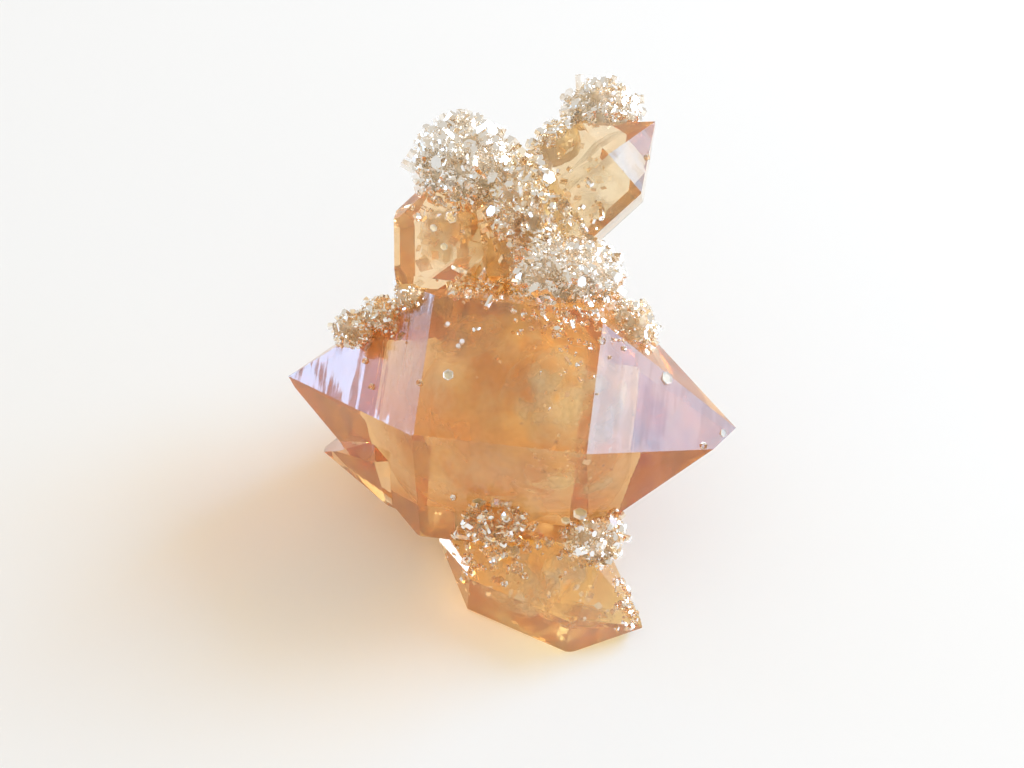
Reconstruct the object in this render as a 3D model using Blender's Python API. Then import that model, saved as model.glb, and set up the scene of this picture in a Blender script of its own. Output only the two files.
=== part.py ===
# Quartz cluster
# A crystal pointed at both ends lies across the middle. A smaller crystal carries it in front, two
# more stand behind it, and crusts of small crystals sit on and between them. X runs to the right,
# Y away from the viewer, Z up. The origin is in the flat foot under the middle crystal.
# The whole cluster grew together, so it is one solid.

import math
import random

import bmesh
import bpy
from mathutils import Matrix, Vector

MM = 0.001

# Angle between a prism face of quartz and the pyramid face above it
PRISM_TO_PYRAMID = math.radians(38.2)

# Height of the middle crystal's long axis above the surface that the cluster stands on
AXIS_HEIGHT = 20.4 * MM

# The cluster spreads in a plane that rises from the middle crystal's axis at this angle.
# Places are given in that plane as right, up the plane and in front of it, in mm from the axis.
PLANE_RISE = math.radians(40)

# Side of the cube that every large crystal is cut from
BLANK = 120 * MM

# Share of a crust's half size taken by its solid lump, and share at which its crystals start
LUMP_SHARE = 0.86
SEAT_SHARE = 0.62

PLANE = Matrix.Translation((0, 0, AXIS_HEIGHT)) @ Matrix.Rotation(PLANE_RISE, 4, "X")


def in_plane(right, up, front):
    return PLANE @ (Vector((right, up, front)) * MM)


def crystal_frame(centre, azimuth, elevation, roll):
    """Local X is the long axis, and roll turns prism face 0 from the top towards the viewer."""
    turn = Matrix.Rotation(math.radians(azimuth), 4, "Z")
    rise = Matrix.Rotation(math.radians(-elevation), 4, "Y")
    spin = Matrix.Rotation(math.radians(roll), 4, "X")
    return Matrix.Translation(in_plane(*centre)) @ turn @ rise @ spin


def face_normal(number, end, offset=(0, 0)):
    """end is 0 for a prism face, 1 for a face of the point at +X and -1 for one at -X.

    offset turns the face off its ideal place, in degrees around the long axis and towards it.
    """
    around = math.radians(60 * number + offset[0])
    tilt = PRISM_TO_PYRAMID * end + math.radians(offset[1])
    return Vector(
        (
            math.sin(tilt),
            -math.cos(tilt) * math.sin(around),
            math.cos(tilt) * math.cos(around),
        )
    )


def cut(mesh, point, normal):
    """Takes off what lies on the normal's side of a plane and closes the cut."""
    result = bmesh.ops.bisect_plane(
        mesh,
        geom=mesh.verts[:] + mesh.edges[:] + mesh.faces[:],
        plane_co=point,
        plane_no=normal,
        clear_outer=True,
    )
    rim = [item for item in result["geom_cut"] if isinstance(item, bmesh.types.BMEdge)]
    if rim:
        bmesh.ops.edgeloop_fill(mesh, edges=rim)


def finish(mesh, name, collection):
    bmesh.ops.recalc_face_normals(mesh, faces=mesh.faces)
    data = bpy.data.meshes.new(name)
    mesh.to_mesh(data)
    mesh.free()
    data.materials.append(quartz)
    made = bpy.data.objects.new(name, data)
    collection.objects.link(made)
    return made


def large_crystal(name, collection, frame, prism, right, left, offsets={}):
    """prism, right and left hold the distances of each ring of six faces from the centre, in mm.

    offsets holds the turn of single faces, by end and number.
    """
    mesh = bmesh.new()
    bmesh.ops.create_cube(mesh, size=BLANK)
    for end, distances in ((0, prism), (1, right), (-1, left)):
        for number, distance in enumerate(distances):
            normal = face_normal(number, end, offsets.get((end, number), (0, 0)))
            cut(mesh, normal * distance * MM, normal)
    bmesh.ops.remove_doubles(mesh, verts=mesh.verts, dist=0.01 * MM)
    bmesh.ops.transform(mesh, matrix=frame, verts=mesh.verts)
    return finish(mesh, name, collection)


def add_small_crystal(mesh, place, width, length):
    """A six-sided prism standing on the XY plane of place, with a six-sided point."""
    body = bmesh.ops.create_cone(
        mesh,
        cap_ends=True,
        segments=6,
        radius1=width / 2,
        radius2=width / 2,
        depth=length,
        matrix=Matrix.Translation((0, 0, length / 2)),
    )
    faces = {face for vert in body["verts"] for face in vert.link_faces}
    top = max(faces, key=lambda face: face.calc_center_median().z)
    point = bmesh.ops.poke(mesh, faces=[top], offset=width / 2 / math.tan(PRISM_TO_PYRAMID))
    bmesh.ops.transform(mesh, matrix=place, verts=body["verts"] + point["verts"])


def crust(name, collection, centre, half_size, count, width, towards=(0, 0, 0), seed=1):
    """A rough lump with small crystals standing out of it all round, leaning the way of towards."""
    dice = random.Random(seed)
    half = Vector(half_size) * MM
    middle = PLANE @ Matrix.Translation(Vector(centre) * MM)
    mesh = bmesh.new()
    bmesh.ops.create_icosphere(mesh, subdivisions=2, radius=LUMP_SHARE)
    for vert in mesh.verts:
        rough = dice.uniform(0.86, 1.06)
        vert.co = middle @ (Vector(a * b for a, b in zip(vert.co, half)) * rough)
    golden_angle = math.pi * (3 - math.sqrt(5))
    for index in range(count):
        height = 1 - 2 * (index + 0.5) / count
        around = golden_angle * index + dice.uniform(-0.3, 0.3)
        flat = math.sqrt(1 - height * height)
        out = Vector((flat * math.cos(around), flat * math.sin(around), height))
        surface = Vector(a * b for a, b in zip(out, half))
        seat = surface * SEAT_SHARE
        jitter = Vector(dice.uniform(-0.3, 0.3) for _ in range(3))
        aim = (surface.normalized() + Vector(towards) + jitter).normalized()
        size = width * MM * dice.uniform(0.7, 1.3)
        length = (surface - seat).length * dice.uniform(0.55, 0.95)
        turn = Vector((0, 0, 1)).rotation_difference(aim).to_matrix().to_4x4()
        spin = Matrix.Rotation(dice.uniform(0, math.tau), 4, "Z")
        add_small_crystal(mesh, middle @ Matrix.Translation(seat) @ turn @ spin, size, length)
    return finish(mesh, name, collection)


for old in list(bpy.data.objects):
    bpy.data.objects.remove(old, do_unlink=True)

quartz = bpy.data.materials.new("golden_quartz")
quartz.use_nodes = True
surface = quartz.node_tree.nodes["Principled BSDF"]
surface.inputs["Base Color"].default_value = (0.78, 0.44, 0.16, 1)
surface.inputs["Roughness"].default_value = 0.05
surface.inputs["Metallic"].default_value = 0.0
surface.inputs["IOR"].default_value = 1.54

cluster_parts = bpy.data.collections.new("quartz_cluster")
shapes = bpy.data.collections.new("quartz_cluster_shapes")
cutters = bpy.data.collections.new("quartz_cluster_cutters")
for collection in (cluster_parts, shapes, cutters):
    bpy.context.scene.collection.children.link(collection)

# Middle crystal, pointed at both ends
cluster = large_crystal(
    "quartz_cluster",
    cluster_parts,
    crystal_frame((0, 0, 0), azimuth=-9.1, elevation=1.3, roll=26),
    prism=(18.7, 18.35, 20.4, 20.4, 19.5, 19.1),
    right=(23.4, 23.35, 21.4, 22.5, 21.2, 22.6),
    left=(21.9, 21.8, 23.8, 24.5, 24.5, 23.35),
    offsets={(1, 1): (-2, -3.6)},
)

# Small crystal grown on its left end below, almost in line with it
large_crystal(
    "left_offshoot",
    shapes,
    crystal_frame((-17.9, -11.9, 0.8), azimuth=-1.5, elevation=7.7, roll=26.6),
    prism=(7.3, 2.2, 5.6, 8, 10, 10),
    right=(12, 12.4, 12.2, 12.6, 12.1, 12.5),
    left=(7.2, 3.3, 4.8, 12, 14, 8.65),
    offsets={(-1, 5): (8.4, 11.8)},
)

# Lower crystal, which reaches the ground in front
large_crystal(
    "lower_crystal",
    shapes,
    crystal_frame((3.7, -27.0, 1.2), azimuth=-26.3, elevation=-0.6, roll=22.1),
    prism=(6.4, 8.0, 8.0, 12, 14, 14),
    right=(11.35, 12.1, 12.65, 13, 11.2, 11.3),
    left=(10.4, 11.1, 11, 12, 15, 15),
)

# Upper left crystal, standing with its lower end on the middle one
large_crystal(
    "upper_left_crystal",
    shapes,
    crystal_frame((-11.4, 26.0, 4.8), azimuth=-88.1, elevation=-22.5, roll=-22.7),
    prism=(3.0, 8.1, 6.1, 7, 7, 7.0),
    right=(7.3, 10.6, 10, 9, 9, 7.2),
    left=(7.6, 7.3, 7.1, 7.4, 7.8, 7.5),
)

# Shorter crystal beside it, leaning to the left as it rises
large_crystal(
    "upper_middle_crystal",
    shapes,
    crystal_frame((0.6, 25.4, 3.2), azimuth=-72.7, elevation=-19.0, roll=-9.1),
    prism=(4.8, 5.2, 5.4, 5.0, 5.25, 4.9),
    right=(7.6, 8.0, 8.4, 8.1, 7.8, 8.2),
    left=(8.0, 8.3, 7.9, 8.1, 8.5, 8.2),
)

# Upper right crystal, pointing up and to the right
large_crystal(
    "upper_right_crystal",
    shapes,
    crystal_frame((13.9, 34.9, 2.4), azimuth=31.2, elevation=30.2, roll=59.4),
    prism=(7.2, 6.0, 8.7, 8.5, 9, 8.55),
    right=(8.0, 6.95, 8.65, 9.5, 9.15, 9.1),
    left=(14, 14.5, 14.2, 14.6, 13.8, 14.3),
)

# Crusts of small crystals: centre, half size, count, width, lean and seed
crust("crust_top_left", shapes, (-7.6, 38.4, 3.2), (8.6, 7.4, 6.4), 34, 2.7, (0, 0.3, 0.1), 11)
crust("crust_between", shapes, (2.6, 30.2, 5.6), (7.2, 9.4, 6.2), 34, 2.7, (0, 0, 0.2), 24)
crust("crust_upper_slope", shapes, (7.9, 40.4, 2.6), (4.6, 4.6, 4.4), 14, 3.4, (-0.2, 0.2, 0.1), 21)
crust("crust_top_right", shapes, (14.2, 46.6, 0.8), (6.6, 5.8, 5.2), 28, 2.6, (0, 0.2, 0.1), 13)
crust("crust_ridge", shapes, (8.2, 20.0, 8.0), (9.8, 5.8, 8.6), 36, 2.6, (0, 0.2, 0.1), 14)
crust("crust_right_shoulder", shapes, (18.4, 12.2, 9.4), (4.6, 5.2, 4.8), 16, 2.2, (0.2, 0.2, 0), 15)
crust("crust_left_shoulder", shapes, (-24.6, 12.0, 6.2), (3.6, 2.8, 3.2), 10, 1.9, (0, 0.2, 0), 16)
crust("crust_left_rise", shapes, (-20.6, 14.2, 6.8), (3.4, 2.6, 3.2), 9, 1.9, (0, 0.2, 0), 26)
crust("crust_left_neck", shapes, (-15.7, 17.0, 9.6), (2.6, 2.4, 2.8), 7, 1.8, (0, 0, 0), 17)
crust("crust_lower_left", shapes, (-2.8, -17.6, 10.4), (5.6, 3.8, 2.4), 11, 2.6, (0, -0.1, 0.1), 18)
crust("crust_lower_right", shapes, (12.4, -19.8, 7.4), (5.2, 5.6, 4.6), 18, 2.2, (0.2, 0, 0.1), 19)
crust("crust_back", shapes, (-1.0, 14.0, -15.0), (12.0, 8.0, 4.0), 22, 3.0, (0, 0.1, 0), 20)

for shape in shapes.objects:
    union = cluster.modifiers.new(shape.name, "BOOLEAN")
    union.operation = "UNION"
    union.object = shape
    union.solver = "EXACT" if shape.name.startswith("crust") else "MANIFOLD"
    union.use_self = union.solver == "EXACT"

# The worn foot is flat where the cluster stands
bpy.ops.mesh.primitive_cube_add(size=BLANK, location=(0, 0, -BLANK / 2))
ground = bpy.context.object
ground.name = "ground"
for collection in ground.users_collection:
    collection.objects.unlink(ground)
cutters.objects.link(ground)
foot = cluster.modifiers.new("foot", "BOOLEAN")
foot.operation = "DIFFERENCE"
foot.object = ground
foot.solver = "EXACT"

for shape in [*shapes.objects, *cutters.objects]:
    shape.hide_render = True
    shape.display_type = "WIRE"
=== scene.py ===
import math
import random

import bpy
from mathutils import Matrix, Vector, noise


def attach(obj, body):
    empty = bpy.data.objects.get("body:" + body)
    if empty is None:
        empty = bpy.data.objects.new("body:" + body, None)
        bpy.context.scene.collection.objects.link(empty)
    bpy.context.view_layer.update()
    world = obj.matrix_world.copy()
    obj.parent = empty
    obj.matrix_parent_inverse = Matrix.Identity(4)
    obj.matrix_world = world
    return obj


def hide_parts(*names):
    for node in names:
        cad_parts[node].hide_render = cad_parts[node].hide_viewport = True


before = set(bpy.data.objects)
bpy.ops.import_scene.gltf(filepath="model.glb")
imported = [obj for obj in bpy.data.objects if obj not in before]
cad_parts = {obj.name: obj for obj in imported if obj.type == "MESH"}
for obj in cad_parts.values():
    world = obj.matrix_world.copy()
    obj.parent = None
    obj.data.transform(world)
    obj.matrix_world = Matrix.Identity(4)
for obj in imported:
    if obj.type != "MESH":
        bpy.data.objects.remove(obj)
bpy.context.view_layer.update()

# Camera
# It looks down on the cluster from in front, at about 50 degrees, from as far away as a hand holds
# a phone, and the middle crystal lies level across the picture.
bpy.ops.object.select_all(action="DESELECT")
bpy.ops.object.camera_add(location=(0, -0.1517, 0.2064), rotation=(math.radians(40), 0, 0))
camera = bpy.context.object
camera.name = "camera"
camera.data.lens = 52.73
camera.data.clip_start = 0.01
bpy.context.scene.camera = camera

# Table
# A plain matt pale top, much wider than the view, so that the cluster stands on even ground from
# every side. It lies a hair below the foot.
MM = 0.001
TABLE_GAP = 0.05 * MM


def set_inputs(node, values):
    for label, value in values.items():
        node.inputs[label].default_value = value


bpy.ops.mesh.primitive_plane_add(size=6, location=(0, 0, -TABLE_GAP))
table = bpy.context.object
table.name = "table"
table_finish = bpy.data.materials.new("pale_table")
table_finish.use_nodes = True
set_inputs(
    table_finish.node_tree.nodes["Principled BSDF"],
    {"Base Color": (0.87, 0.865, 0.85, 1), "Roughness": 0.6, "Specular IOR Level": 0.2},
)
table.data.materials.append(table_finish)

# Light
# Soft windows low at the right and at the left, which the pyramid faces mirror, a brighter one
# behind on the right that casts the shadow, and the warm even light of the room.
LIT_SPOT = Vector((0, 0, 0.02))


def window(name, direction, distance, width, height, radiance, colour):
    towards = Vector(direction).normalized()
    bpy.ops.object.light_add(type="AREA", location=towards * distance + LIT_SPOT)
    lamp = bpy.context.object
    lamp.name = name
    lamp.data.shape = "RECTANGLE"
    lamp.data.size = width
    lamp.data.size_y = height
    lamp.data.energy = radiance * math.pi * width * height
    lamp.data.color = colour
    lamp.rotation_mode = "QUATERNION"
    lamp.rotation_quaternion = (-towards).to_track_quat("-Z", "Y")


# name, direction, distance, width, height, radiance, colour
window("window_right", (0.93, 0.12, 0.32), 1.0, 0.60, 0.44, 3.0, (0.48, 0.68, 1.0))
window("window_left", (-0.93, 0.36, 0.14), 1.0, 0.40, 0.34, 3.4, (0.32, 0.60, 1.0))
window("window_left_far", (-0.83, 0.56, 0.05), 1.0, 0.12, 0.24, 4.0, (0.85, 0.90, 1.0))
window("window_key", (0.72, 0.42, 0.52), 1.8, 0.90, 0.90, 11.5, (0.78, 0.87, 1.0))

world = bpy.data.worlds.new("room")
bpy.context.scene.world = world
world.use_nodes = True
set_inputs(
    world.node_tree.nodes["Background"], {"Color": (1.0, 0.925, 0.81, 1), "Strength": 0.70}
)

# a ray passes many faces of clear quartz before it gets out
scene = bpy.context.scene
scene.view_settings.view_transform = "Standard"
scene.cycles.max_bounces = 16
scene.cycles.glossy_bounces = 12
scene.cycles.transmission_bounces = 14
scene.cycles.transparent_max_bounces = 24
scene.cycles.diffuse_bounces = 3
scene.cycles.adaptive_threshold = 0.06
scene.cycles.use_light_tree = False
scene.cycles.light_sampling_threshold = 0.05

# Large crystals
# Six clear golden quartz crystals that grew into one another, with fine growth steps across their
# faces. Each is a block cut by its own prism and pyramid faces, and they are joined to one closed
# mesh, which is cut flat at the foot.
BUMP_DEPTH = 0.05 * MM


def add_node(tree, kind, values={}, **settings):
    made = tree.nodes.new(kind)
    for label, value in settings.items():
        setattr(made, label, value)
    set_inputs(made, values)
    return made


def new_group(name, inputs, output, output_kind):
    """An empty node group with these inputs (label, kind, start), its tree and both its ends."""
    group = bpy.data.node_groups.new(name, "ShaderNodeTree")
    for label, kind, start in inputs:
        socket = group.interface.new_socket(label, in_out="INPUT", socket_type=kind)
        socket.default_value = start
    group.interface.new_socket(output, in_out="OUTPUT", socket_type=output_kind)
    return group, group.nodes.new("NodeGroupInput"), group.nodes.new("NodeGroupOutput")


def cloud_group():
    """Colour inside quartz: clear ground, whitish veils and orange iron stain."""
    group, given, result = new_group(
        "quartz_clouds",
        (
            ("Clear", "NodeSocketColor", (1, 0.9, 0.8, 1)),
            ("Veil", "NodeSocketColor", (1, 0.9, 0.8, 1)),
            ("Stain", "NodeSocketColor", (0.8, 0.4, 0.1, 1)),
            ("Size", "NodeSocketFloat", 90.0),
            ("Veil Amount", "NodeSocketFloat", 0.5),
            ("Stain Amount", "NodeSocketFloat", 0.5),
        ),
        "Color",
        "NodeSocketColor",
    )
    links = group.links
    place = add_node(group, "ShaderNodeTexCoord")
    mixed = given.outputs["Clear"]
    for colour, offset, stretch, low, high in (
        ("Veil", 0.0, 1.0, 0.40, 0.66),
        ("Stain", 3.7, 1.6, 0.46, 0.68),
    ):
        move = add_node(
            group,
            "ShaderNodeMapping",
            {"Location": (offset, offset, 0), "Scale": (stretch, 1, 1)},
        )
        links.new(place.outputs["Object"], move.inputs["Vector"])
        cloud = add_node(
            group, "ShaderNodeTexNoise", {"Detail": 4, "Roughness": 0.55, "Distortion": 0.2}
        )
        links.new(move.outputs["Vector"], cloud.inputs["Vector"])
        links.new(given.outputs["Size"], cloud.inputs["Scale"])
        spread = add_node(
            group,
            "ShaderNodeMapRange",
            {"From Min": low, "From Max": high},
            interpolation_type="SMOOTHSTEP",
        )
        links.new(cloud.outputs["Fac"], spread.inputs["Value"])
        share = add_node(group, "ShaderNodeMath", operation="MULTIPLY")
        links.new(spread.outputs["Result"], share.inputs[0])
        links.new(given.outputs[colour + " Amount"], share.inputs[1])
        mix = add_node(group, "ShaderNodeMix", data_type="RGBA")
        links.new(share.outputs["Value"], mix.inputs["Factor"])
        links.new(mixed, mix.inputs[6])
        links.new(given.outputs[colour], mix.inputs[7])
        mixed = mix.outputs[2]
    links.new(mixed, result.inputs["Color"])
    return group


def growth_group():
    """Height of the fine steps across a crystal's long axis and of its faces' slight waves."""
    group, given, result = new_group(
        "growth_lines",
        (("Lines", "NodeSocketFloat", 0.5), ("Waves", "NodeSocketFloat", 0.5)),
        "Height",
        "NodeSocketFloat",
    )
    links = group.links
    place = add_node(group, "ShaderNodeAttribute", attribute_name="in_crystal")
    both = add_node(group, "ShaderNodeMath", operation="ADD")
    for number, (label, scale, detail) in enumerate(
        (("Lines", (800, 55, 55), 4), ("Waves", (120, 120, 120), 2))
    ):
        stretch = add_node(group, "ShaderNodeMapping", {"Scale": scale})
        links.new(place.outputs["Vector"], stretch.inputs["Vector"])
        wave = add_node(group, "ShaderNodeTexNoise", {"Scale": 1.0, "Detail": detail})
        links.new(stretch.outputs["Vector"], wave.inputs["Vector"])
        amount = add_node(group, "ShaderNodeMath", operation="MULTIPLY")
        links.new(wave.outputs["Fac"], amount.inputs[0])
        links.new(given.outputs[label], amount.inputs[1])
        links.new(amount.outputs["Value"], both.inputs[number])
    links.new(both.outputs["Value"], result.inputs["Height"])
    return group


clouds = cloud_group()
growth_lines = growth_group()


def cloud_colours(tree, ground, veil, stain, size, amounts):
    """The cloud colours in a material: three colours, the clouds' fineness, and veil and stain."""
    inside = add_node(tree, "ShaderNodeGroup", name="clouds", node_tree=clouds)
    set_inputs(
        inside,
        {
            "Clear": (*ground, 1),
            "Veil": (*veil, 1),
            "Stain": (*stain, 1),
            "Size": size,
            "Veil Amount": amounts[0],
            "Stain Amount": amounts[1],
        },
    )
    shader = tree.nodes["Principled BSDF"]
    tree.links.new(inside.outputs["Color"], shader.inputs["Base Color"])
    return inside


def clear_quartz(name, ground, veil, stain, size, amounts, clear, shadow, roughness=0.02):
    """Clear quartz, which lets that much light through and gives its shadow that colour."""
    material = bpy.data.materials.new(name)
    material.use_nodes = True
    tree = material.node_tree
    shader = tree.nodes["Principled BSDF"]
    cloud_colours(tree, ground, veil, stain, size, amounts)
    set_inputs(shader, {"Roughness": roughness, "IOR": 1.54, "Transmission Weight": clear})
    rays = add_node(tree, "ShaderNodeLightPath")
    open_way = add_node(tree, "ShaderNodeBsdfTransparent", {"Color": (*shadow, 1)})
    either = add_node(tree, "ShaderNodeMixShader")
    tree.links.new(rays.outputs["Is Shadow Ray"], either.inputs["Fac"])
    tree.links.new(shader.outputs["BSDF"], either.inputs[1])
    tree.links.new(open_way.outputs["BSDF"], either.inputs[2])
    tree.links.new(either.outputs["Shader"], tree.nodes["Material Output"].inputs["Surface"])
    return material


golden = clear_quartz(
    "golden_quartz",
    ground=(1, 1, 1),
    veil=(1, 1, 1),
    stain=(0.92, 0.66, 0.36),
    size=80,
    amounts=(0.6, 0.5),
    clear=0.90,
    shadow=(0.88, 0.71, 0.30),
)
golden_tree = golden.node_tree
golden_links = golden_tree.links
golden_shader = golden_tree.nodes["Principled BSDF"]
absorb = add_node(
    golden_tree, "ShaderNodeVolumeAbsorption", {"Color": (0.98, 0.65, 0.01, 1), "Density": 34}
)
golden_links.new(
    absorb.outputs["Volume"], golden_tree.nodes["Material Output"].inputs["Volume"]
)
tint = add_node(golden_tree, "ShaderNodeAttribute", attribute_name="tint")
golden_links.new(tint.outputs["Color"], golden_tree.nodes["clouds"].inputs["Clear"])
streaked_faces = add_node(golden_tree, "ShaderNodeAttribute", attribute_name="streaks")
deeper = add_node(golden_tree, "ShaderNodeMath", {1: 5.5, 2: 0.8}, operation="MULTIPLY_ADD")
golden_links.new(streaked_faces.outputs["Fac"], deeper.inputs[0])
grown = add_node(golden_tree, "ShaderNodeGroup", node_tree=growth_lines)
set_inputs(grown, {"Waves": 1.0})
golden_links.new(deeper.outputs["Value"], grown.inputs["Lines"])
relief = add_node(golden_tree, "ShaderNodeBump", {"Strength": 0.5, "Distance": BUMP_DEPTH})
golden_links.new(grown.outputs["Height"], relief.inputs["Height"])
golden_links.new(relief.outputs["Normal"], golden_shader.inputs["Normal"])

# some faces have a bright skin that mirrors the windows, which on a streaked face lies in streaks
# and patches, and is missing round one place
BARE_SPOT = (-0.0150, 0.0, 0.0160)
BARE_INSIDE = 0.003
BARE_OUTSIDE = 0.012

crystal_place = add_node(golden_tree, "ShaderNodeAttribute", attribute_name="in_crystal")
both = add_node(golden_tree, "ShaderNodeMath", operation="ADD")
for number, (scale, offset) in enumerate((((900, 50, 50), 0.0), ((260, 110, 110), 4.3))):
    spread = add_node(
        golden_tree, "ShaderNodeMapping", {"Scale": scale, "Location": (offset, offset, offset)}
    )
    golden_links.new(crystal_place.outputs["Vector"], spread.inputs["Vector"])
    wave = add_node(golden_tree, "ShaderNodeTexNoise", {"Scale": 1.0, "Detail": 4})
    golden_links.new(spread.outputs["Vector"], wave.inputs["Vector"])
    golden_links.new(wave.outputs["Fac"], both.inputs[number])
away = add_node(golden_tree, "ShaderNodeVectorMath", {1: BARE_SPOT}, operation="DISTANCE")
golden_links.new(crystal_place.outputs["Vector"], away.inputs[0])
bare = add_node(
    golden_tree,
    "ShaderNodeMapRange",
    {"From Min": BARE_INSIDE, "From Max": BARE_OUTSIDE, "To Min": -0.30, "To Max": 0.07},
)
golden_links.new(away.outputs["Value"], bare.inputs["Value"])
patches = add_node(golden_tree, "ShaderNodeMath", operation="ADD")
golden_links.new(both.outputs["Value"], patches.inputs[0])
golden_links.new(bare.outputs["Result"], patches.inputs[1])
edge = add_node(
    golden_tree,
    "ShaderNodeMapRange",
    {"From Min": 0.98, "From Max": 1.10},
    interpolation_type="SMOOTHSTEP",
)
golden_links.new(patches.outputs["Value"], edge.inputs["Value"])
patterned = add_node(golden_tree, "ShaderNodeMix", {"A": 1.0})
golden_links.new(streaked_faces.outputs["Fac"], patterned.inputs["Factor"])
golden_links.new(edge.outputs["Result"], patterned.inputs["B"])
skin_faces = add_node(golden_tree, "ShaderNodeAttribute", attribute_name="skin")
skin_share = add_node(golden_tree, "ShaderNodeMath", operation="MULTIPLY")
golden_links.new(patterned.outputs["Result"], skin_share.inputs[0])
golden_links.new(skin_faces.outputs["Fac"], skin_share.inputs[1])
golden_links.new(skin_share.outputs["Value"], golden_shader.inputs["Coat Weight"])
set_inputs(golden_shader, {"Coat IOR": 2.4, "Coat Roughness": 0.04})

PRISM_TO_PYRAMID = math.radians(38.2)
AXIS_HEIGHT = 20.4 * MM
PLANE_RISE = math.radians(40)
BLANK = 120 * MM
MERGE_DISTANCE = 0.02 * MM
# the leaning plane square to the view, through the middle crystal's axis
PLANE = Matrix.Translation((0, 0, AXIS_HEIGHT)) @ Matrix.Rotation(PLANE_RISE, 4, "X")


def crystal_frame(centre, azimuth, elevation, roll):
    """A crystal's own frame, with X along its axis, at that centre in the leaning plane."""
    turn = Matrix.Rotation(math.radians(azimuth), 4, "Z")
    rise = Matrix.Rotation(math.radians(-elevation), 4, "Y")
    spin = Matrix.Rotation(math.radians(roll), 4, "X")
    return Matrix.Translation(PLANE @ (Vector(centre) * MM)) @ turn @ rise @ spin


def face_normal(number, end, offset):
    """Outward direction of a face: end 0 is the prism, 1 and -1 are the two pyramids."""
    around = math.radians(60 * number + offset[0])
    tilt = PRISM_TO_PYRAMID * end + math.radians(offset[1])
    return Vector(
        (
            math.sin(tilt),
            -math.cos(tilt) * math.sin(around),
            math.cos(tilt) * math.cos(around),
        )
    )


frames = []
markers = []
tints = []


def large_crystal(name, tint, place, prism, right, left, offsets={}):
    """A block cut by its faces, each at its own distance in mm from the crystal's centre."""
    frames.append(place.inverted())
    tints.append(tint)
    markers.append(bpy.data.materials.new(name + "_marker"))
    bpy.ops.object.select_all(action="DESELECT")
    bpy.ops.mesh.primitive_cube_add(size=BLANK)
    crystal = bpy.context.object
    crystal.name = name
    crystal.data.materials.append(markers[-1])
    bpy.ops.object.mode_set(mode="EDIT")
    for end, distances in ((0, prism), (1, right), (-1, left)):
        for number, distance in enumerate(distances):
            normal = face_normal(number, end, offsets.get((end, number), (0, 0)))
            bpy.ops.mesh.select_all(action="SELECT")
            bpy.ops.mesh.bisect(
                plane_co=normal * distance * MM,
                plane_no=normal,
                use_fill=True,
                clear_outer=True,
            )
    bpy.ops.mesh.select_all(action="SELECT")
    bpy.ops.mesh.remove_doubles(threshold=MERGE_DISTANCE)
    bpy.ops.mesh.normals_make_consistent(inside=False)
    bpy.ops.object.mode_set(mode="OBJECT")
    crystal.matrix_world = place
    bpy.ops.object.transform_apply(location=True, rotation=True, scale=True)
    return crystal


GOLD = (0.97, 0.80, 0.54)
PEACH = (1.0, 0.97, 0.88)
STRAW = (1.0, 0.95, 0.82)
HONEY = (1.0, 0.84, 0.60)

middle = large_crystal(
    "large_crystals",
    GOLD,
    crystal_frame((0, 0, 0), azimuth=-9.1, elevation=1.3, roll=26),
    prism=(18.7, 18.35, 20.4, 20.4, 19.5, 19.1),
    right=(23.4, 23.35, 21.4, 22.5, 21.2, 22.6),
    left=(21.9, 21.8, 23.8, 24.5, 24.5, 23.35),
    offsets={(1, 1): (-2, -3.6)},
)
offshoot = large_crystal(
    "left_offshoot",
    GOLD,
    crystal_frame((-17.9, -11.9, 0.8), azimuth=-1.5, elevation=7.7, roll=26.6),
    prism=(7.3, 2.2, 5.6, 8, 10, 10),
    right=(12, 12.4, 12.2, 12.6, 12.1, 12.5),
    left=(7.2, 3.3, 4.8, 12, 14, 8.65),
    offsets={(-1, 5): (8.4, 11.8)},
)
lower = large_crystal(
    "lower_crystal",
    PEACH,
    crystal_frame((3.7, -27.0, 1.2), azimuth=-26.3, elevation=-0.6, roll=22.1),
    prism=(6.4, 8.0, 8.0, 12, 14, 14),
    right=(11.35, 12.1, 12.65, 13, 11.2, 11.3),
    left=(10.4, 11.1, 11, 12, 15, 15),
)
upper_left = large_crystal(
    "upper_left_crystal",
    HONEY,
    crystal_frame((-11.4, 26.0, 4.8), azimuth=-88.1, elevation=-22.5, roll=-22.7),
    prism=(3.0, 8.1, 6.1, 7, 7, 7.0),
    right=(7.3, 10.6, 10, 9, 9, 7.2),
    left=(7.6, 7.3, 7.1, 7.4, 7.8, 7.5),
)
upper_right = large_crystal(
    "upper_right_crystal",
    STRAW,
    crystal_frame((13.9, 34.9, 2.4), azimuth=31.2, elevation=30.2, roll=59.4),
    prism=(7.2, 6.0, 8.7, 8.5, 9, 8.55),
    right=(8.0, 6.95, 8.65, 9.5, 9.15, 9.1),
    left=(14, 14.5, 14.2, 14.6, 13.8, 14.3),
)
upper_middle = large_crystal(
    "upper_middle_crystal",
    HONEY,
    crystal_frame((0.6, 25.4, 3.2), azimuth=-72.7, elevation=-19.0, roll=-9.1),
    prism=(4.8, 5.2, 5.4, 5.0, 5.25, 4.9),
    right=(7.6, 8.0, 8.4, 8.1, 7.8, 8.2),
    left=(8.0, 8.3, 7.9, 8.1, 8.5, 8.2),
)

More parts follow.
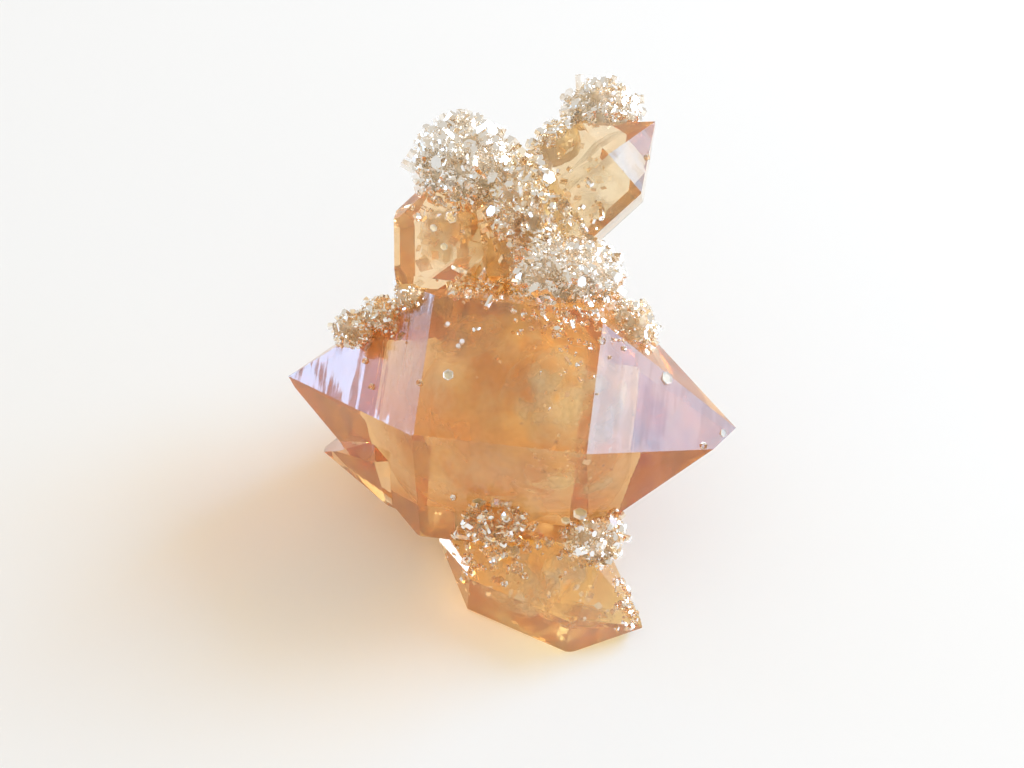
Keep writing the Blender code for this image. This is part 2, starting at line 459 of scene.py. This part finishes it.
bpy.ops.object.select_all(action="DESELECT")
bpy.context.view_layer.objects.active = middle
for other in (offshoot, lower, upper_left, upper_middle, upper_right):
    union = middle.modifiers.new(other.name, "BOOLEAN")
    union.operation = "UNION"
    union.object = other
    union.solver = "EXACT"
    union.material_mode = "TRANSFER"
    bpy.ops.object.modifier_apply(modifier=union.name)
    bpy.data.objects.remove(other)
bpy.ops.mesh.primitive_cube_add(size=BLANK, location=(0, 0, -BLANK / 2))
ground = bpy.context.object
bpy.context.view_layer.objects.active = middle
foot = middle.modifiers.new("foot", "BOOLEAN")
foot.operation = "DIFFERENCE"
foot.object = ground
foot.solver = "EXACT"
bpy.ops.object.modifier_apply(modifier=foot.name)
bpy.data.objects.remove(ground)

WHITE = (1, 1, 1)
TIP = (0.78, 0.58, 0.36)
# painted reflection: a grey that stands in for the bright window reflection which washes out the
# amber
REFLECTION_GREY = (0.48, 0.46, 0.44)
RUSSET = (0.66, 0.50, 0.36)
# painted reflection: a bluish grey for the window's bluish-white reflection
BLUE_REFLECTION_GREY = (0.42, 0.43, 0.46)
OLIVE = (0.32, 0.25, 0.13)
# crystal, end and number of a face: its tint, how deep its steps are, how bright its skin is; on
# two faces the tint is a painted grey for a window reflection
FACE_LOOKS = {
    # painted reflection: the middle crystal's right pyramid face is greyed where the bluish
    # window's reflection washes out the amber
    (0, 1, 0): (REFLECTION_GREY, 0.2, 0.6),
    (0, -1, 0): (RUSSET, 1.0, 1.0),
    (1, -1, 5): (WHITE, 0.3, 1.0),
    (2, -1, 0): (PEACH, 0.3, 1.0),
    (2, 1, 2): (TIP, 0.0, 0.0),
    (2, 1, 3): (TIP, 0.0, 0.0),
    # painted reflection: a pyramid face of the upper right crystal is toned bluish grey for the
    # window's reflection on it
    (4, 1, 0): (BLUE_REFLECTION_GREY, 0.6, 0.45),
    (4, 0, 2): (OLIVE, 0.0, 0.0),
}
for label, kind in (
    ("tint", "FLOAT_COLOR"),
    ("in_crystal", "FLOAT_VECTOR"),
    ("streaks", "FLOAT"),
    ("skin", "FLOAT"),
):
    middle.data.attributes.new(label, kind, "CORNER")
colours = middle.data.attributes["tint"]
inner = middle.data.attributes["in_crystal"]
streaks = middle.data.attributes["streaks"]
skin = middle.data.attributes["skin"]
owners = [
    markers.index(slot.material) if slot.material else 0 for slot in middle.material_slots
]
# a face whose direction leans more than this along the axis is a pyramid's
PYRAMID_LEAN = 0.4
for face in middle.data.polygons:
    number = owners[face.material_index]
    facing = frames[number].to_3x3() @ face.normal
    end = (facing.x > PYRAMID_LEAN) - (facing.x < -PYRAMID_LEAN)
    around = round(math.degrees(math.atan2(-facing.y, facing.z)) / 60) % 6
    usual = TIP if number < 2 and end else tints[number]
    shade, streaked, bright = FACE_LOOKS.get((number, end, around), (usual, 0.0, 0.0))
    for corner in face.loop_indices:
        colours.data[corner].color = (*shade, 1)
        streaks.data[corner].value = streaked
        skin.data[corner].value = bright
        spot = middle.data.vertices[middle.data.loops[corner].vertex_index].co
        inner.data[corner].vector = frames[number] @ spot
middle.data.materials.clear()
middle.data.materials.append(golden)
for face in middle.data.polygons:
    face.material_index = 0
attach(middle, "root")
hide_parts("quartz_cluster")

# Clouds inside
# The clear quartz holds thick amber clouds in the middle crystal, thin milky veils along healed
# cracks, orange iron stain and pale patches. Each is a closed body that ends inside the crystal.
BELOW_FACE = 0.3 * MM
SWELL_LENGTH = 7 * MM
FADE_START = 0.35
FADE_WIDTH = 0.6
FADE_POWER = 1.5
RAGGED_FINENESS = 2.4
RAGGED_DEPTH = 0.5


def inner_cloud(name, number, centre, half_size, turn, seed, finish, rough=0.14, rim=False):
    """A wavy body in that crystal's frame, or the leaning plane's for None.

    It fades towards its two ends, or all round its ragged rim, and is kept inside the crystal.
    """
    bpy.ops.object.select_all(action="DESELECT")
    bpy.ops.mesh.primitive_ico_sphere_add(subdivisions=5, radius=1)
    cloud = bpy.context.object
    cloud.name = name
    spin = Matrix.Rotation(math.radians(turn[0]), 4, turn[1])
    base = PLANE if number is None else frames[number].inverted()
    place = base @ Matrix.Translation(Vector(centre) * MM) @ spin
    half = Vector(half_size) * MM
    shift = Vector((seed, 0, 0))
    shown = cloud.data.attributes.new("shown", "FLOAT", "POINT")
    for vert in cloud.data.vertices:
        side = abs(vert.co.x)
        if rim:
            ragged = noise.noise(vert.co * RAGGED_FINENESS + shift)
            side = math.hypot(vert.co.x, vert.co.y) + RAGGED_DEPTH * ragged
        faded = max(0.0, min(1.0, (side - FADE_START) / FADE_WIDTH))
        shown.data[vert.index].value = 1 - faded**FADE_POWER
        out = Vector(a * b for a, b in zip(vert.co, half))
        swell = noise.noise(out / SWELL_LENGTH + shift)
        if rim:
            vert.co = place @ (out + Vector((0, 0, swell * rough * half.x)))
        else:
            vert.co = place @ (out * (1 + rough * swell))
        _, near, normal, _ = middle.closest_point_on_mesh(vert.co)
        if (vert.co - near).dot(normal) > -BELOW_FACE:
            vert.co = near - normal * BELOW_FACE
    bpy.ops.object.shade_smooth()
    cloud.visible_shadow = not rim
    cloud.data.materials.append(finish)
    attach(cloud, "root")


def mist(name, ground, veil, stain, size, amounts, thinnest, thickest):
    """A matt cloud whose cover wanders between these two shares, and follows "shown"."""
    material = bpy.data.materials.new(name)
    material.use_nodes = True
    tree = material.node_tree
    shader = tree.nodes["Principled BSDF"]
    set_inputs(shader, {"Roughness": 1.0, "Specular IOR Level": 0.0})
    cloud_colours(tree, ground, veil, stain, size, amounts)
    place = add_node(tree, "ShaderNodeTexCoord")
    cover = add_node(
        tree, "ShaderNodeTexNoise", {"Scale": size * 1.3, "Detail": 5, "Distortion": 0.2}
    )
    tree.links.new(place.outputs["Object"], cover.inputs["Vector"])
    dense = add_node(
        tree,
        "ShaderNodeMapRange",
        {"From Min": 0.35, "From Max": 0.7, "To Min": thinnest, "To Max": thickest},
    )
    tree.links.new(cover.outputs["Fac"], dense.inputs["Value"])
    shown = add_node(tree, "ShaderNodeAttribute", attribute_name="shown")
    faded = add_node(tree, "ShaderNodeMath", operation="MULTIPLY")
    tree.links.new(dense.outputs["Result"], faded.inputs[0])
    tree.links.new(shown.outputs["Fac"], faded.inputs[1])
    tree.links.new(faded.outputs["Value"], shader.inputs["Alpha"])
    return material


amber_mist = mist(
    "amber_mist",
    ground=(0.99, 0.74, 0.36),
    veil=(1.0, 0.90, 0.68),
    stain=(0.88, 0.44, 0.08),
    size=90,
    amounts=(0.9, 0.8),
    thinnest=0.25,
    thickest=0.8,
)
white_mist = mist(
    "white_mist",
    ground=(1.0, 0.93, 0.82),
    veil=(1.0, 0.98, 0.94),
    stain=(0.93, 0.62, 0.28),
    size=170,
    amounts=(0.9, 0.8),
    thinnest=-0.1,
    thickest=0.85,
)
brown_mist = mist(
    "brown_mist",
    ground=(0.55, 0.38, 0.18),
    veil=(0.62, 0.46, 0.24),
    stain=(0.48, 0.30, 0.12),
    size=150,
    amounts=(0.7, 0.7),
    thinnest=0.1,
    thickest=0.6,
)
stain_mist = mist(
    "stain_mist",
    ground=(0.90, 0.50, 0.16),
    veil=(0.95, 0.66, 0.30),
    stain=(0.80, 0.36, 0.08),
    size=140,
    amounts=(0.7, 0.8),
    thinnest=0.0,
    thickest=0.9,
)
grey_mist = mist(
    "grey_mist",
    ground=(0.99, 0.93, 0.84),
    veil=(1.0, 0.98, 0.94),
    stain=(0.93, 0.74, 0.50),
    size=240,
    amounts=(0.8, 0.6),
    thinnest=0.0,
    thickest=0.7,
)

# name, centre, half size, turn and its axis, seed, finish, roughness of the shape
for name, centre, half_size, turn, seed, finish, rough in (
    ("lower_pale_patch", (8.6, -25.8, 7.0), (4.4, 4.4, 0.4), (8, "X"), 11, grey_mist, 0.2),
    ("lower_stain_1", (4.4, -27.6, 7.4), (1.4, 5.2, 0.3), (12, "Z"), 12, stain_mist, 0.4),
    ("lower_stain_2", (10.4, -32.2, 6.4), (5.4, 1.6, 0.3), (-8, "Z"), 13, stain_mist, 0.3),
    ("middle_stain", (-6.6, 10.5, 16.8), (6.2, 3.8, 0.4), (20, "Z"), 14, stain_mist, 0.2),
    ("middle_pale_patch", (8.0, 0.8, 17.0), (10.0, 8.2, 0.4), (0, "Z"), 15, grey_mist, 0.1),
    ("front_pale_patch", (8.8, -10.6, 13.4), (8.8, 3.2, 0.4), (0, "Z"), 16, grey_mist, 0.1),
):
    inner_cloud(name, None, centre, half_size, turn, seed, finish, rough, rim=True)
inner_cloud("middle_cloud", 0, (0, 0, 0), (17, 15.5, 15.5), (0, "X"), 1, amber_mist)
inner_cloud("middle_cloud_core", 0, (1, 0, 0), (12, 10, 10), (20, "Z"), 2, amber_mist)
# name, crystal, centre, half size, turn and its axis, seed, finish, roughness of the shape
for name, number, centre, half_size, turn, seed, finish, rough in (
    ("lower_veil_1", 2, (-2, -1, 0), (7, 5, 0.3), (20, "X"), 3, white_mist, 0.3),
    ("lower_veil_2", 2, (1, -2, 2), (6, 4.5, 0.3), (-35, "Y"), 4, white_mist, 0.3),
    ("lower_veil_3", 2, (4, 1, 0), (4.5, 4.5, 0.3), (60, "Y"), 5, amber_mist, 0.3),
    ("upper_left_veil_1", 3, (0, 0, 0), (6, 4, 0.3), (25, "X"), 6, amber_mist, 0.3),
    ("upper_left_veil_2", 3, (-2, 1, -2), (4, 4, 0.3), (50, "Y"), 7, white_mist, 0.3),
    ("upper_right_veil_1", 4, (-3, 0, 1), (7, 5, 0.3), (20, "X"), 8, white_mist, 0.3),
    ("upper_right_smoke", 4, (3, 4.5, 1), (8, 3.0, 0.3), (60, "X"), 9, brown_mist, 0.2),
):
    inner_cloud(name, number, centre, half_size, turn, seed, finish, rough, rim=True)

# Crusts
# Later quartz grew over the large crystals as crusts of clear and amber crystals about a
# millimetre across. Each crust is a milky lump with thousands of six-sided crystals set on it.
PIECE_LOWEST = 1.2 * MM
BURIED = 0.25 * MM
COARSE_LENGTH = 2.6 * MM
FINE_LENGTH = 0.9 * MM
COARSE_DEPTH = 0.16
FINE_DEPTH = 0.05
LUMP_SHARE = 0.84
END_FACING = 0.9
CUP_RIM = 0.16


def small_crystal(width, height, points, hollow=0.0, sides=6):
    """Its corners and faces: a prism with a point on top, and one below if points is 2."""
    bpy.ops.object.select_all(action="DESELECT")
    bpy.ops.mesh.primitive_cylinder_add(vertices=sides, radius=width / 2, depth=height)
    made = bpy.context.object
    for side in (1, -1)[:points]:
        for face in made.data.polygons:
            face.select = face.normal.z * side > END_FACING
        bpy.ops.object.mode_set(mode="EDIT")
        rise = side * width / 2 / math.tan(PRISM_TO_PYRAMID)
        bpy.ops.mesh.extrude_region_move(TRANSFORM_OT_translate={"value": (0, 0, rise)})
        bpy.ops.mesh.merge(type="CENTER")
        bpy.ops.mesh.select_all(action="DESELECT")
        bpy.ops.object.mode_set(mode="OBJECT")
    if hollow:
        for face in made.data.polygons:
            face.select = face.normal.z > END_FACING
        bpy.ops.object.mode_set(mode="EDIT")
        bpy.ops.mesh.inset(thickness=CUP_RIM * width)
        bpy.ops.transform.translate(value=(0, 0, -hollow))
        bpy.ops.object.mode_set(mode="OBJECT")
    shape = (
        [vert.co.copy() for vert in made.data.vertices],
        [tuple(face.vertices) for face in made.data.polygons],
    )
    bpy.data.objects.remove(made)
    return shape


STOUT = small_crystal(width=1.0, height=0.7, points=1)
LONG = small_crystal(width=0.8, height=1.5, points=1)
DOUBLE = small_crystal(width=0.9, height=0.6, points=2)
FLAT = small_crystal(width=1.15, height=0.25, points=2)
FLAKE = small_crystal(width=1.0, height=0.04, points=0, sides=4)
CUP = small_crystal(width=1.0, height=0.6, points=0, hollow=0.3)
SMALL_SHAPES = (STOUT, LONG, DOUBLE, FLAT, FLAKE, CUP)
# how often each of these comes, and how far their directions and sizes stray
CRUST_SHARES = (3, 4, 2, 1, 0, 0)
CRUST_TILT = 0.75
USUAL_SIZE = -0.1
CRUST_SIZE_SPREAD = 0.35
CRUST_LARGEST = 1.7


def seat_crystal(verts, faces, shape, spot, aim, spin, stretch):
    """Adds one small crystal that stands on a spot and points at aim."""
    turn = Vector((0, 0, 1)).rotation_difference(aim).to_matrix().to_4x4()
    seat = Matrix.Translation(spot) @ turn @ spin @ stretch
    first = len(verts)
    verts.extend(seat @ vert for vert in shape[0])
    faces.extend(tuple(first + n for n in face) for face in shape[1])


def add_piece(name, verts, faces, finish):
    mesh = bpy.data.meshes.new(name)
    mesh.from_pydata(verts, [], faces)
    mesh.materials.append(finish)
    made = bpy.data.objects.new(name, mesh)
    bpy.context.scene.collection.objects.link(made)
    made.visible_shadow = False
    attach(made, "root")


def crust(name, centre, half_size, per_area, width, towards, seed, finish, inside):
    """A lump with crystals of about that width, so many to the square mm, that lean one way."""
    dice = random.Random(seed)
    bpy.ops.object.select_all(action="DESELECT")
    bpy.ops.mesh.primitive_ico_sphere_add(subdivisions=4, radius=LUMP_SHARE)
    lump = bpy.context.object
    lump.name = name + "_lump"
    half = Vector(half_size) * MM
    place = PLANE @ Matrix.Translation(Vector(centre) * MM)
    for vert in lump.data.vertices:
        out = Vector(a * b for a, b in zip(vert.co, half))
        swell = noise.noise(out / COARSE_LENGTH + Vector((seed, 0, 0)))
        fine = noise.noise(out / FINE_LENGTH + Vector((seed, 5, 0)))
        vert.co = place @ (out * (1 + COARSE_DEPTH * swell + FINE_DEPTH * fine))
    verts = []
    faces = []
    lean = Vector(towards)
    for face in lump.data.polygons:
        wanted = face.area / MM**2 * per_area
        count = int(wanted) + (dice.random() < wanted % 1)
        for _ in range(count):
            spot = face.center
            jitter = Vector(dice.gauss(0, CRUST_TILT) for _ in range(3))
            aim = (face.normal + lean + jitter).normalized()
            scale = dice.lognormvariate(USUAL_SIZE, CRUST_SIZE_SPREAD)
            size = width * MM * min(scale, CRUST_LARGEST)
            _, near, normal, _ = middle.closest_point_on_mesh(spot)
            if (spot - near).dot(normal) < -BURIED or spot.z < PIECE_LOWEST:
                continue
            shape = dice.choices(SMALL_SHAPES, CRUST_SHARES)[0]
            spin = Matrix.Rotation(dice.uniform(0, math.tau), 4, "Z")
            stretch = Matrix.Diagonal((size, size * dice.uniform(0.8, 1.1), size, 1))
            lift = aim * size * dice.uniform(-0.2, 0.6)
            seat_crystal(verts, faces, shape, spot + lift, aim, spin, stretch)
    lump.data.materials.append(inside)
    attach(lump, "root")
    add_piece(name, verts, faces, finish)


pale = clear_quartz(
    "pale_druse",
    ground=(1, 0.97, 0.93),
    veil=(0.96, 0.88, 0.76),
    stain=(0.82, 0.62, 0.40),
    size=300,
    amounts=(0.9, 0.7),
    clear=1.0,
    shadow=(0.97, 0.93, 0.86),
    roughness=0.01,
)
set_inputs(pale.node_tree.nodes["Principled BSDF"], {"Specular IOR Level": 0.3})
amber = clear_quartz(
    "amber_druse",
    ground=(1, 0.91, 0.76),
    veil=(0.94, 0.78, 0.54),
    stain=(0.78, 0.50, 0.24),
    size=300,
    amounts=(0.9, 0.7),
    clear=1.0,
    shadow=(0.96, 0.87, 0.72),
    roughness=0.01,
)
set_inputs(amber.node_tree.nodes["Principled BSDF"], {"Specular IOR Level": 0.2})
milky = clear_quartz(
    "druse_inside",
    ground=(0.84, 0.68, 0.48),
    veil=(0.92, 0.82, 0.68),
    stain=(0.66, 0.44, 0.22),
    size=260,
    amounts=(0.8, 0.6),
    clear=0.45,
    shadow=(0.93, 0.84, 0.7),
    roughness=0.25,
)
# name, centre, half size, crystals to the square mm, width, lean, seed, finish
for name, centre, half_size, per_area, width, towards, seed, finish in (
    ("top_left", (-7.6, 38.4, 3.2), (8.6, 7.4, 6.4), 1.5, 1.4, (0, 0.3, 0.1), 11, pale),
    ("between", (2.6, 30.2, 5.6), (7.2, 9.4, 6.2), 1.3, 1.4, (0, 0, 0.2), 24, amber),
    ("upper_slope", (7.9, 40.4, 2.6), (4.6, 4.6, 4.4), 1.5, 1.35, (-0.2, 0.2, 0.1), 21, amber),
    ("top_right", (14.2, 46.6, 0.8), (6.4, 5.4, 5.0), 1.6, 1.25, (0, 0.2, 0.1), 13, pale),
    ("ridge", (8.2, 20.0, 8.0), (9.8, 5.8, 8.6), 1.6, 1.3, (0, 0.2, 0.1), 14, pale),
    ("right_shoulder", (18.2, 12.0, 9.2), (4.0, 4.6, 4.2), 2.4, 0.85, (0.2, 0.2, 0), 15, amber),
    ("left_shoulder", (-24.6, 12.0, 6.2), (3.6, 2.8, 3.2), 2.4, 0.85, (0, 0.2, 0), 16, amber),
    ("left_rise", (-20.6, 14.2, 6.8), (3.4, 2.6, 3.2), 2.2, 0.9, (0, 0.2, 0), 26, amber),
    ("left_neck", (-15.7, 17.0, 9.6), (2.6, 2.4, 2.8), 2.2, 0.8, (0, 0, 0), 17, amber),
    ("lower_left", (-2.8, -17.6, 10.4), (5.6, 3.8, 2.4), 0.8, 1.05, (0, -0.1, 0.1), 18, amber),
    ("lower_right", (12.4, -19.8, 7.4), (5.2, 5.6, 4.6), 2.0, 1.05, (0.2, 0, 0.1), 19, amber),
    ("back", (-1.0, 14.0, -15.0), (12.0, 8.0, 4.0), 1.5, 1.3, (0, 0.1, 0), 20, amber),
):
    inside = amber if name == "lower_left" else milky
    crust("crust_" + name, centre, half_size, per_area, width, towards, seed, finish, inside)

# Strewn crystals
# Single small crystals of the same growth sit on the large faces round the crusts, pale ones and
# amber ones, each grown on the face under it.
STREWN_TILT = 0.5
STREWN_SIZE_SPREAD = 0.4
STREWN_LARGEST = 2.0


def seen(right, up):
    """Hit or not, place and normal of what the camera sees at that place of the leaning plane."""
    start = camera.location.copy()
    through = PLANE @ (Vector((right, up, 0)) * MM)
    return middle.ray_cast(start, (through - start).normalized())[:3]


def sprinkle(name, spots, shares, depth, seed, finish):
    """Small crystals strewn over the large ones' faces, or flecks at some depth below them.

    A spot is its place to the right and up, its spread both ways, the count and the width.
    """
    dice = random.Random(seed)
    verts = []
    faces = []
    for right, up, half_right, half_up, count, width in spots:
        for _ in range(count):
            found, spot, normal = seen(dice.gauss(right, half_right), dice.gauss(up, half_up))
            jitter = Vector(dice.gauss(0, STREWN_TILT) for _ in range(3))
            scale = dice.lognormvariate(USUAL_SIZE, STREWN_SIZE_SPREAD)
            size = width * MM * min(scale, STREWN_LARGEST)
            sunk = dice.uniform(*depth) * MM
            shape = dice.choices(SMALL_SHAPES, shares)[0]
            if not found or spot.z < PIECE_LOWEST:
                continue
            spin = Matrix.Rotation(dice.uniform(0, math.tau), 4, "Z")
            stretch = Matrix.Diagonal((size, size * dice.uniform(0.6, 1.1), size, 1))
            spot = spot - normal * sunk
            _, near, outwards, _ = middle.closest_point_on_mesh(spot)
            if depth[0] > 0 and (spot - near).dot(outwards) > -0.5 * size:
                continue
            aim = (normal + jitter).normalized()
            seat_crystal(verts, faces, shape, spot, aim, spin, stretch)
    add_piece(name, verts, faces, finish)


sprinkle(
    "strewn_pale_crystals",
    (
        (9.0, 16.0, 5.0, 2.4, 110, 0.9),
        (5.0, 27.5, 4.0, 4.0, 60, 1.2),
        (-10.0, 32.0, 4.0, 1.5, 50, 1.0),
        (-2.5, -21.0, 3.6, 3.0, 70, 1.2),
        (12.0, -22.5, 4.0, 2.4, 90, 0.8),
        (18.4, -29.5, 1.2, 2.6, 60, 0.8),
    ),
    shares=(3, 1, 3, 2, 0, 0),
    depth=(-0.25, 0.1),
    seed=31,
    finish=pale,
)
sprinkle(
    "strewn_amber_crystals",
    (
        (2.0, 18.5, 5.0, 1.6, 60, 1.1),
        (-6.0, 18.5, 4.0, 1.2, 40, 1.1),
        (10.0, 12.5, 4.0, 2.0, 40, 0.7),
        (9.0, 30.0, 3.0, 4.0, 70, 1.3),
        (20.5, 12.5, 2.5, 1.8, 60, 0.7),
        (-21.0, 12.5, 3.0, 1.2, 50, 0.7),
        (-5.0, -24.0, 3.0, 2.5, 50, 0.9),
        (9.6, 6.0, 3.8, 2.6, 26, 0.6),
        (19.0, -32.0, 1.0, 2.2, 40, 0.8),
    ),
    shares=(3, 2, 3, 1, 0, 0),
    depth=(-0.2, 0.1),
    seed=32,
    finish=amber,
)

# Single crystals
# The ones that stand out, each at its own place: white six-sided plates, russet crystals with one
# hollow cup, tall pale crystals on the crusts, and the blades in the valley above the middle one.


def placed(name, items, finish):
    """Single crystals: place, lean, width, height and shape.

    A place is to the right, up and to the front in the leaning plane, and the front None stands
    for the face that the camera sees there.
    """
    verts = []
    faces = []
    for place, lean, width, height, shape in items:
        right, up, front = place
        spot = PLANE @ (Vector((right, up, front or 0)) * MM)
        aim = PLANE.to_3x3() @ Vector(lean)
        if front is None:
            _, spot, normal = seen(right, up)
            aim = aim + normal
        stretch = Matrix.Diagonal((width * MM, width * MM, height * MM, 1))
        unturned = Matrix.Identity(4)
        seat_crystal(verts, faces, shape, spot, aim.normalized(), unturned, stretch)
    add_piece(name, verts, faces, finish)


russet = clear_quartz(
    "russet_druse",
    ground=(0.94, 0.70, 0.44),
    veil=(0.86, 0.58, 0.32),
    stain=(0.62, 0.34, 0.14),
    size=300,
    amounts=(0.9, 0.7),
    clear=0.95,
    shadow=(0.92, 0.76, 0.54),
    roughness=0.03,
)
plate = clear_quartz(
    "white_plates",
    ground=(0.90, 0.89, 0.95),
    veil=(0.97, 0.96, 0.98),
    stain=(0.92, 0.86, 0.80),
    size=300,
    amounts=(0.8, 0.5),
    clear=0.35,
    shadow=(0.95, 0.93, 0.9),
    roughness=0.2,
)
placed(
    "white_hexagons",
    (
        ((-10.2, 4.8, None), (0, 0, 0), 1.5, 1.0, FLAT),
        ((-9.8, 30.0, None), (0.1, 0, 0), 1.8, 1.0, FLAT),
        ((-12.6, 28.3, None), (0.2, 0, 0), 1.1, 1.0, FLAT),
        ((-10.9, 25.3, None), (-0.2, 0, 0), 1.1, 1.0, FLAT),
        ((-5.3, -15.7, None), (0.1, 0.1, 0.2), 1.9, 1.2, FLAT),
        ((-3.7, -21.9, None), (0, 0.2, 0.2), 1.7, 1.2, FLAT),
        ((-1.1, -23.0, None), (0.2, 0, 0.2), 1.5, 1.2, FLAT),
        ((0.2, -23.4, None), (-0.1, 0.1, 0.2), 1.9, 1.2, FLAT),
        ((10.9, -17.3, None), (0.1, 0.2, 0.3), 2.0, 1.4, FLAT),
        ((8.6, -18.4, None), (-0.2, 0.2, 0.3), 1.3, 1.2, FLAT),
        ((24.8, 4.3, None), (0.1, 0.2, 0), 1.9, 1.2, FLAT),
        ((33.8, -4.5, None), (0.1, 0, 0), 1.2, 1.0, FLAT),
        ((-10.4, 12.8, None), (0.3, 0, 0), 0.9, 0.9, LONG),
        ((-8.0, 10.1, None), (0.2, 0.3, 0), 0.8, 0.8, STOUT),
        ((-8.6, 9.4, None), (-0.2, 0.3, 0), 0.7, 0.7, STOUT),
        ((0.4, 18.3, None), (0.0, 0.9, 0.5), 0.9, 1.4, LONG),
    ),
    plate,
)
placed(
    "russet_crystals",
    (
        ((-23.7, 10.1, None), (0, 0, 0.3), 2.9, 2.2, CUP),
        ((-23.4, 7.0, None), (0.2, 0, 0.3), 1.2, 1.2, DOUBLE),
        ((-22.4, 2.9, None), (0, 0.2, 0.2), 1.1, 1.1, DOUBLE),
        ((-14.7, 3.5, None), (0.2, 0, 0.2), 1.2, 1.1, DOUBLE),
        ((16.2, -17.3, None), (0.2, 0.1, 0.3), 2.2, 1.6, DOUBLE),
        ((30.6, -6.5, None), (0, -0.3, 0.2), 1.3, 1.0, DOUBLE),
        ((21.6, 39.6, None), (0.8, 0.2, 0.2), 1.1, 1.0, DOUBLE),
        ((3.4, 27.8, 8.6), (0.3, 0.2, 1.0), 2.4, 2.0, STOUT),
    ),
    russet,
)
placed(
    "standing_crystals",
    (
        ((-8.3, 42.6, 3.4), (0.12, 1, 0.2), 3.4, 2.7, LONG),
        ((-3.9, 41.8, 3.6), (0.1, 1, 0.3), 3.0, 1.8, LONG),
        ((-12.6, 41.6, 3.0), (-0.5, 1, 0.2), 2.0, 1.6, LONG),
        ((0.4, 40.2, 3.8), (0.5, 1, 0.2), 1.9, 1.6, LONG),
        ((-6.5, 40.0, 8.0), (-0.1, 0.7, 1), 2.2, 1.8, STOUT),
        ((6.2, 42.8, 4.6), (-0.2, 1, 0.5), 2.6, 2.4, STOUT),
        ((8.6, 40.2, 5.4), (0.1, 0.7, 1), 3.0, 2.6, STOUT),
        ((10.8, 51.2, 2.0), (-0.1, 1, 0.1), 2.0, 1.6, LONG),
        ((17.4, 50.4, 2.2), (0.4, 1, 0.2), 2.0, 1.6, STOUT),
        ((5.0, 36.6, 8.2), (0.2, 0.5, 1), 2.6, 2.2, STOUT),
    ),
    pale,
)
placed(
    "valley_blades",
    (
        ((-8.2, 21.4, None), (0.8, -0.7, 0.3), 1.5, 2.6, LONG),
        ((-6.4, 20.2, None), (0.9, -0.6, 0.4), 1.3, 2.2, LONG),
        ((-4.4, 20.0, None), (0.2, 0.4, 0.6), 1.2, 1.8, LONG),
        ((-2.6, 19.0, None), (-0.4, 0.8, 0.5), 1.2, 2.2, LONG),
        ((2.2, 18.6, None), (0.3, 0.9, 0.6), 1.2, 1.8, LONG),
    ),
    pale,
)

# Flakes inside
# Small flat cracks below the faces, which mirror the light as bright golden flecks. They are thin
# four-sided flakes, strewn at random depths and kept inside the crystal.
FLAKES_ONLY = (0, 0, 0, 0, 1, 0)

glint = bpy.data.materials.new("crack_glint")
glint.use_nodes = True
set_inputs(
    glint.node_tree.nodes["Principled BSDF"],
    {"Base Color": (1.0, 0.93, 0.80, 1), "Metallic": 1.0, "Roughness": 0.18, "Alpha": 0.55},
)
sprinkle(
    "upper_flakes",
    (
        (-10.7, 25.6, 3.6, 4.0, 34, 2.4),
        (0.5, 26.4, 3.0, 4.4, 24, 2.0),
        (12.5, 35.2, 3.0, 3.0, 10, 1.4),
    ),
    FLAKES_ONLY,
    depth=(0.6, 5.0),
    seed=41,
    finish=glint,
)
sprinkle(
    "middle_flakes",
    (
        (10.4, -9.9, 3.6, 1.5, 50, 0.7),
        (8.6, -1.0, 5.0, 5.0, 30, 0.6),
        (-4.0, 8.0, 6.0, 5.0, 14, 0.5),
    ),
    FLAKES_ONLY,
    depth=(0.2, 2.0),
    seed=42,
    finish=glint,
)
sprinkle(
    "lower_flakes",
    (
        (3.7, -29.6, 5.5, 3.0, 30, 1.3),
        (14.0, -33.0, 2.4, 2.0, 16, 1.1),
    ),
    FLAKES_ONLY,
    depth=(0.4, 3.5),
    seed=43,
    finish=glint,
)
